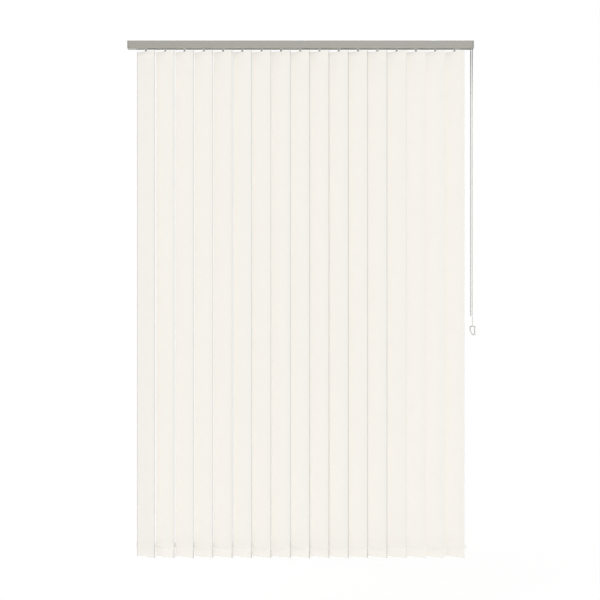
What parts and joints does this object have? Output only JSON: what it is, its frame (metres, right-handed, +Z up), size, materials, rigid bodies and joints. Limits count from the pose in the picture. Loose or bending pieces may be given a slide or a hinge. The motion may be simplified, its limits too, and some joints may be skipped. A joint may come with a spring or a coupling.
{
  "type": "vertical blind",
  "caption": "Vertical blind: fabric vanes on geared carriers in a slim headrail, turned by a bead chain and drawn aside by a looped cord with a ring weight.",
  "frame": {"origin": "middle of the row of ceiling clips, on the ceiling's surface, straight above the middle vane's axis", "axes": "+X along the rail towards the control end, +Y towards the window, +Z up; the room is on the -Y side"},
  "size_m": [1.4409, 0.0488, 2.144],
  "materials": {
    "satin_aluminium": "satin",
    "grey_plastic": "satin",
    "spring_steel": "satin",
    "bright_aluminium": "satin",
    "white_plastic": "gloss",
    "chain_white": "gloss",
    "cord_white": "braided",
    "weight_plastic": "satin",
    "steel_pin": "satin",
    "carrier_plastic": "satin",
    "vane_cloth": "woven"
  },
  "bodies": {
    "root": {"headrail": "satin_aluminium", "left_end_cap": "grey_plastic", "control_end_cap": "grey_plastic", "ceiling_clips": "spring_steel", "end_stop": "white_plastic", "wheel_chain": "chain_white", "tilt_chain": "chain_white", "traverse_cord": "cord_white", "pull_cord": "cord_white", "cord_weight": "weight_plastic", "pulley_pins": "steel_pin", "carrier_17": "carrier_plastic"},
    "carrier_01": {"carrier_01": "carrier_plastic"},
    "carrier_02": {"carrier_02": "carrier_plastic"},
    "carrier_03": {"carrier_03": "carrier_plastic"},
    "carrier_04": {"carrier_04": "carrier_plastic"},
    "carrier_05": {"carrier_05": "carrier_plastic"},
    "carrier_06": {"carrier_06": "carrier_plastic"},
    "carrier_07": {"carrier_07": "carrier_plastic"},
    "carrier_08": {"carrier_08": "carrier_plastic"},
    "carrier_09": {"carrier_09": "carrier_plastic"},
    "carrier_10": {"carrier_10": "carrier_plastic"},
    "carrier_11": {"carrier_11": "carrier_plastic"},
    "carrier_12": {"carrier_12": "carrier_plastic"},
    "carrier_13": {"carrier_13": "carrier_plastic"},
    "carrier_14": {"carrier_14": "carrier_plastic"},
    "carrier_15": {"carrier_15": "carrier_plastic"},
    "carrier_16": {"carrier_16": "carrier_plastic"},
    "vane_17": {"vane_17": "vane_cloth"},
    "vane_01": {"vane_01": "vane_cloth"},
    "vane_02": {"vane_02": "vane_cloth"},
    "vane_03": {"vane_03": "vane_cloth"},
    "vane_04": {"vane_04": "vane_cloth"},
    "vane_05": {"vane_05": "vane_cloth"},
    "vane_06": {"vane_06": "vane_cloth"},
    "vane_07": {"vane_07": "vane_cloth"},
    "vane_08": {"vane_08": "vane_cloth"},
    "vane_09": {"vane_09": "vane_cloth"},
    "vane_10": {"vane_10": "vane_cloth"},
    "vane_11": {"vane_11": "vane_cloth"},
    "vane_12": {"vane_12": "vane_cloth"},
    "vane_13": {"vane_13": "vane_cloth"},
    "vane_14": {"vane_14": "vane_cloth"},
    "vane_15": {"vane_15": "vane_cloth"},
    "vane_16": {"vane_16": "vane_cloth"},
    "tilt_rod": {"tilt_rod": "bright_aluminium", "chain_wheel": "white_plastic"},
    "front_cord_pulley": {"front_cord_pulley": "white_plastic"},
    "rear_cord_pulley": {"rear_cord_pulley": "white_plastic"},
    "idler_pulley": {"idler_pulley": "white_plastic"},
    "front_link_chain": {"front_link_chain": "chain_white"},
    "rear_link_chain": {"rear_link_chain": "chain_white"}
  },
  "joints": [
    {"name": "traverse", "type": "slide", "parent": "root", "child": "carrier_01", "axis": [1, 0, 0], "range_m": [0, 1.04], "deforming": ["front_link_chain", "rear_link_chain"]},
    {"name": "traverse_02", "type": "slide", "parent": "root", "child": "carrier_02", "axis": [1, 0, 0], "range_m": [0, 0.975]},
    {"name": "traverse_03", "type": "slide", "parent": "root", "child": "carrier_03", "axis": [1, 0, 0], "range_m": [0, 0.91]},
    {"name": "traverse_04", "type": "slide", "parent": "root", "child": "carrier_04", "axis": [1, 0, 0], "range_m": [0, 0.845]},
    {"name": "traverse_05", "type": "slide", "parent": "root", "child": "carrier_05", "axis": [1, 0, 0], "range_m": [0, 0.78]},
    {"name": "traverse_06", "type": "slide", "parent": "root", "child": "carrier_06", "axis": [1, 0, 0], "range_m": [0, 0.715]},
    {"name": "traverse_07", "type": "slide", "parent": "root", "child": "carrier_07", "axis": [1, 0, 0], "range_m": [0, 0.65]},
    {"name": "traverse_08", "type": "slide", "parent": "root", "child": "carrier_08", "axis": [1, 0, 0], "range_m": [0, 0.585]},
    {"name": "traverse_09", "type": "slide", "parent": "root", "child": "carrier_09", "axis": [1, 0, 0], "range_m": [0, 0.52]},
    {"name": "traverse_10", "type": "slide", "parent": "root", "child": "carrier_10", "axis": [1, 0, 0], "range_m": [0, 0.455]},
    {"name": "traverse_11", "type": "slide", "parent": "root", "child": "carrier_11", "axis": [1, 0, 0], "range_m": [0, 0.39]},
    {"name": "traverse_12", "type": "slide", "parent": "root", "child": "carrier_12", "axis": [1, 0, 0], "range_m": [0, 0.325]},
    {"name": "traverse_13", "type": "slide", "parent": "root", "child": "carrier_13", "axis": [1, 0, 0], "range_m": [0, 0.26]},
    {"name": "traverse_14", "type": "slide", "parent": "root", "child": "carrier_14", "axis": [1, 0, 0], "range_m": [0, 0.195]},
    {"name": "traverse_15", "type": "slide", "parent": "root", "child": "carrier_15", "axis": [1, 0, 0], "range_m": [0, 0.13]},
    {"name": "traverse_16", "type": "slide", "parent": "root", "child": "carrier_16", "axis": [1, 0, 0], "range_m": [0, 0.065]},
    {"name": "tilt", "type": "hinge", "parent": "root", "child": "vane_17", "pos_m": [0.64, 0, -0.037], "axis": [0, 0, -1], "range_deg": [-18, 142]},
    {"name": "tilt_01", "type": "hinge", "parent": "carrier_01", "child": "vane_01", "pos_m": [-0.64, 0, -0.037], "axis": [0, 0, -1], "range_deg": [-18, 142]},
    {"name": "tilt_02", "type": "hinge", "parent": "carrier_02", "child": "vane_02", "pos_m": [-0.56, 0, -0.037], "axis": [0, 0, -1], "range_deg": [-18, 142]},
    {"name": "tilt_03", "type": "hinge", "parent": "carrier_03", "child": "vane_03", "pos_m": [-0.48, 0, -0.037], "axis": [0, 0, -1], "range_deg": [-18, 142]},
    {"name": "tilt_04", "type": "hinge", "parent": "carrier_04", "child": "vane_04", "pos_m": [-0.4, 0, -0.037], "axis": [0, 0, -1], "range_deg": [-18, 142]},
    {"name": "tilt_05", "type": "hinge", "parent": "carrier_05", "child": "vane_05", "pos_m": [-0.32, 0, -0.037], "axis": [0, 0, -1], "range_deg": [-18, 142]},
    {"name": "tilt_06", "type": "hinge", "parent": "carrier_06", "child": "vane_06", "pos_m": [-0.24, 0, -0.037], "axis": [0, 0, -1], "range_deg": [-18, 142]},
    {"name": "tilt_07", "type": "hinge", "parent": "carrier_07", "child": "vane_07", "pos_m": [-0.16, 0, -0.037], "axis": [0, 0, -1], "range_deg": [-18, 142]},
    {"name": "tilt_08", "type": "hinge", "parent": "carrier_08", "child": "vane_08", "pos_m": [-0.08, 0, -0.037], "axis": [0, 0, -1], "range_deg": [-18, 142]},
    {"name": "tilt_09", "type": "hinge", "parent": "carrier_09", "child": "vane_09", "pos_m": [0, 0, -0.037], "axis": [0, 0, -1], "range_deg": [-18, 142]},
    {"name": "tilt_10", "type": "hinge", "parent": "carrier_10", "child": "vane_10", "pos_m": [0.08, 0, -0.037], "axis": [0, 0, -1], "range_deg": [-18, 142]},
    {"name": "tilt_11", "type": "hinge", "parent": "carrier_11", "child": "vane_11", "pos_m": [0.16, 0, -0.037], "axis": [0, 0, -1], "range_deg": [-18, 142]},
    {"name": "tilt_12", "type": "hinge", "parent": "carrier_12", "child": "vane_12", "pos_m": [0.24, 0, -0.037], "axis": [0, 0, -1], "range_deg": [-18, 142]},
    {"name": "tilt_13", "type": "hinge", "parent": "carrier_13", "child": "vane_13", "pos_m": [0.32, 0, -0.037], "axis": [0, 0, -1], "range_deg": [-18, 142]},
    {"name": "tilt_14", "type": "hinge", "parent": "carrier_14", "child": "vane_14", "pos_m": [0.4, 0, -0.037], "axis": [0, 0, -1], "range_deg": [-18, 142]},
    {"name": "tilt_15", "type": "hinge", "parent": "carrier_15", "child": "vane_15", "pos_m": [0.48, 0, -0.037], "axis": [0, 0, -1], "range_deg": [-18, 142]},
    {"name": "tilt_16", "type": "hinge", "parent": "carrier_16", "child": "vane_16", "pos_m": [0.56, 0, -0.037], "axis": [0, 0, -1], "range_deg": [-18, 142]},
    {"name": "rod_spin", "type": "hinge", "parent": "root", "child": "tilt_rod", "pos_m": [0, 0.0085, -0.0185], "axis": [1, 0, 0], "range_deg": [-180, 1420]},
    {"name": "front_cord_pulley_spin", "type": "hinge", "parent": "root", "child": "front_cord_pulley", "pos_m": [0.7094, -0.0138, -0.0146], "axis": [0, 1, 0], "continuous": true},
    {"name": "rear_cord_pulley_spin", "type": "hinge", "parent": "root", "child": "rear_cord_pulley", "pos_m": [0.7094, -0.0058, -0.0146], "axis": [0, 1, 0], "continuous": true},
    {"name": "idler_pulley_spin", "type": "hinge", "parent": "root", "child": "idler_pulley", "pos_m": [-0.6903, -0.0098, -0.0106], "axis": [0, 0, 1], "continuous": true},
    {"name": "front_link_chain_swing", "type": "hinge", "parent": "vane_17", "child": "front_link_chain", "pos_m": [0.68282, -0.02277, -2.0986], "axis": [0, 0, -1], "range_deg": [-142, 18]},
    {"name": "rear_link_chain_swing", "type": "hinge", "parent": "vane_17", "child": "rear_link_chain", "pos_m": [0.59718, 0.02277, -2.0986], "axis": [0, 0, -1], "range_deg": [-142, 18]}
  ],
  "couplings": [
    {"joint": "traverse_02", "follows": "traverse", "ratio": 0.9375},
    {"joint": "traverse_03", "follows": "traverse", "ratio": 0.875},
    {"joint": "traverse_04", "follows": "traverse", "ratio": 0.8125},
    {"joint": "traverse_05", "follows": "traverse", "ratio": 0.75},
    {"joint": "traverse_06", "follows": "traverse", "ratio": 0.6875},
    {"joint": "traverse_07", "follows": "traverse", "ratio": 0.625},
    {"joint": "traverse_08", "follows": "traverse", "ratio": 0.5625},
    {"joint": "traverse_09", "follows": "traverse", "ratio": 0.5},
    {"joint": "traverse_10", "follows": "traverse", "ratio": 0.4375},
    {"joint": "traverse_11", "follows": "traverse", "ratio": 0.375},
    {"joint": "traverse_12", "follows": "traverse", "ratio": 0.3125},
    {"joint": "traverse_13", "follows": "traverse", "ratio": 0.25},
    {"joint": "traverse_14", "follows": "traverse", "ratio": 0.1875},
    {"joint": "traverse_15", "follows": "traverse", "ratio": 0.125},
    {"joint": "traverse_16", "follows": "traverse", "ratio": 0.0625},
    {"joint": "tilt_01", "follows": "tilt", "ratio": 1},
    {"joint": "tilt_02", "follows": "tilt", "ratio": 1},
    {"joint": "tilt_03", "follows": "tilt", "ratio": 1},
    {"joint": "tilt_04", "follows": "tilt", "ratio": 1},
    {"joint": "tilt_05", "follows": "tilt", "ratio": 1},
    {"joint": "tilt_06", "follows": "tilt", "ratio": 1},
    {"joint": "tilt_07", "follows": "tilt", "ratio": 1},
    {"joint": "tilt_08", "follows": "tilt", "ratio": 1},
    {"joint": "tilt_09", "follows": "tilt", "ratio": 1},
    {"joint": "tilt_10", "follows": "tilt", "ratio": 1},
    {"joint": "tilt_11", "follows": "tilt", "ratio": 1},
    {"joint": "tilt_12", "follows": "tilt", "ratio": 1},
    {"joint": "tilt_13", "follows": "tilt", "ratio": 1},
    {"joint": "tilt_14", "follows": "tilt", "ratio": 1},
    {"joint": "tilt_15", "follows": "tilt", "ratio": 1},
    {"joint": "tilt_16", "follows": "tilt", "ratio": 1},
    {"joint": "rod_spin", "follows": "tilt", "ratio": 10},
    {"joint": "front_cord_pulley_spin", "follows": "traverse", "rad_per_m": 250},
    {"joint": "rear_cord_pulley_spin", "follows": "traverse", "rad_per_m": -250},
    {"joint": "idler_pulley_spin", "follows": "traverse", "rad_per_m": 250},
    {"joint": "front_link_chain_swing", "follows": "tilt", "ratio": -1},
    {"joint": "rear_link_chain_swing", "follows": "tilt", "ratio": -1}
  ]
}
